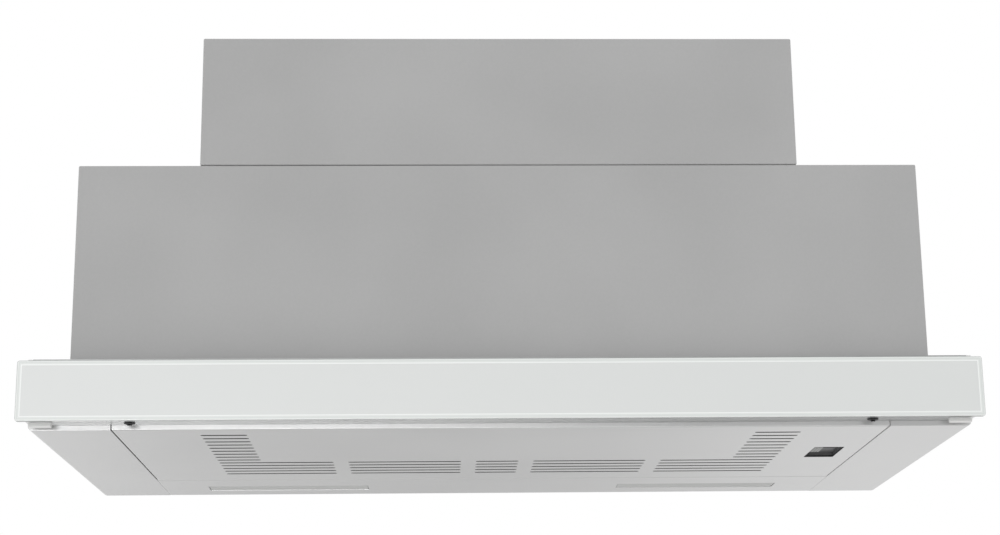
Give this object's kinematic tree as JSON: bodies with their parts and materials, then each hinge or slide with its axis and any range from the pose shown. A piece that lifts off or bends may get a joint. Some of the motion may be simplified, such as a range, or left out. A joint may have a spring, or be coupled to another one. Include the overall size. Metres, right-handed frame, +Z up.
{
  "type": "pull out range hood",
  "caption": "Pull-out cabinet range hood, closed: stepped grey casing, white glass front on a sliding filter tray, slotted underside, strip lamps, blower and round outlet.",
  "frame": {"origin": "middle of the footprint at the underside: midway across the glass, midway from the front of the glass to the wall side, on the plane of the base", "axes": "+X to the right seen from the front, +Y towards the wall, +Z up towards the duct"},
  "size_m": [0.598, 0.3, 0.282],
  "materials": {
    "casing_grey": "satin grey paint on sheet steel",
    "base_satin": "satin light-grey paint on sheet steel",
    "galvanised": "zinc-plated sheet steel, dull",
    "screw_steel": "blackened screw",
    "white_glass": "tempered glass, painted white on its back, polished edge",
    "filter_aluminium": "expanded aluminium mesh and frame",
    "black_plastic": "moulded, fine texture",
    "grey_plastic": "moulded, satin",
    "white_plastic": "moulded, satin",
    "lamp_diffuser": "frosted translucent cover, lamp off",
    "motor_metal": "grey lacquer"
  },
  "bodies": {
    "casing": {"lower_casing": "casing_grey", "upper_casing": "casing_grey", "base_wing_left": "base_satin", "base_wing_right": "base_satin", "lamp_panel": "base_satin", "lamp_diffuser_left": "lamp_diffuser", "lamp_diffuser_right": "lamp_diffuser", "lamp_housing_left": "filter_aluminium", "lamp_housing_right": "filter_aluminium", "suction_plate": "galvanised", "inner_filter_left": "filter_aluminium", "inner_filter_right": "filter_aluminium", "rail_outer_left": "galvanised", "rail_outer_right": "galvanised", "blower_housing_left": "black_plastic", "blower_housing_right": "black_plastic", "motor": "motor_metal", "motor_bracket": "galvanised", "outlet_collar": "black_plastic", "flap_rod": "galvanised", "capacitor": "white_plastic", "terminal_box": "white_plastic", "cable_gland": "black_plastic", "door_switch": "black_plastic"},
    "slider": {"glass_front": "white_glass", "front_profile": "base_satin", "profile_end_cap_left": "grey_plastic", "profile_end_cap_right": "grey_plastic", "profile_screw_left": "screw_steel", "profile_screw_right": "screw_steel", "slider_arm_left": "galvanised", "slider_arm_right": "galvanised", "slider_cover": "base_satin", "slider_rear_bar": "galvanised", "rail_inner_left": "galvanised", "rail_inner_right": "galvanised", "panel_hinge_pin_left": "galvanised", "panel_hinge_pin_right": "galvanised", "panel_catch_left": "black_plastic", "panel_catch_right": "black_plastic", "switch_housing": "black_plastic"},
    "rail_left": {"rail_middle_left": "galvanised"},
    "rail_right": {"rail_middle_right": "galvanised"},
    "panel": {"filter_panel": "base_satin", "panel_filter": "filter_aluminium"},
    "knob": {"switch_knob": "grey_plastic"},
    "fan": {"impeller": "grey_plastic", "motor_shaft": "galvanised"},
    "flap_front": {"outlet_flap_front": "black_plastic"},
    "flap_rear": {"outlet_flap_rear": "black_plastic"},
    "latch_left": {"filter_latch_left": "black_plastic"},
    "latch_right": {"filter_latch_right": "black_plastic"}
  },
  "joints": [
    {"name": "slider_pull", "type": "slide", "parent": "casing", "child": "slider", "axis": [0, -1, 0], "range_m": [0, 0.17]},
    {"name": "rail_left_travel", "type": "slide", "parent": "casing", "child": "rail_left", "axis": [0, -1, 0], "range_m": [0, 0.085]},
    {"name": "rail_right_travel", "type": "slide", "parent": "casing", "child": "rail_right", "axis": [0, -1, 0], "range_m": [0, 0.085]},
    {"name": "panel_drop", "type": "hinge", "parent": "slider", "child": "panel", "pos_m": [0, 0.0715, 0.0032], "axis": [1, 0, 0], "range_deg": [0, 70]},
    {"name": "switch_slide", "type": "slide", "parent": "slider", "child": "knob", "axis": [1, 0, 0], "range_m": [0, 0.0115]},
    {"name": "fan_spin", "type": "hinge", "parent": "casing", "child": "fan", "pos_m": [0, -0.032, 0.15201], "axis": [1, 0, 0], "continuous": true},
    {"name": "flap_front_swing", "type": "hinge", "parent": "casing", "child": "flap_front", "pos_m": [0, 0.01092, 0.2676], "axis": [-1, 0, 0], "range_deg": [0, 80]},
    {"name": "flap_rear_swing", "type": "hinge", "parent": "casing", "child": "flap_rear", "pos_m": [0, 0.01092, 0.2676], "axis": [1, 0, 0], "range_deg": [0, 80]},
    {"name": "latch_left_slide", "type": "slide", "parent": "casing", "child": "latch_left", "axis": [0, 1, 0], "range_m": [0, 0.005], "stiffness_N_per_m": 300, "springref_m": -0.003},
    {"name": "latch_right_slide", "type": "slide", "parent": "casing", "child": "latch_right", "axis": [0, 1, 0], "range_m": [0, 0.005], "stiffness_N_per_m": 300, "springref_m": -0.003}
  ],
  "couplings": [
    {"joint": "rail_left_travel", "follows": "slider_pull", "ratio": 0.5},
    {"joint": "rail_right_travel", "follows": "slider_pull", "ratio": 0.5}
  ]
}
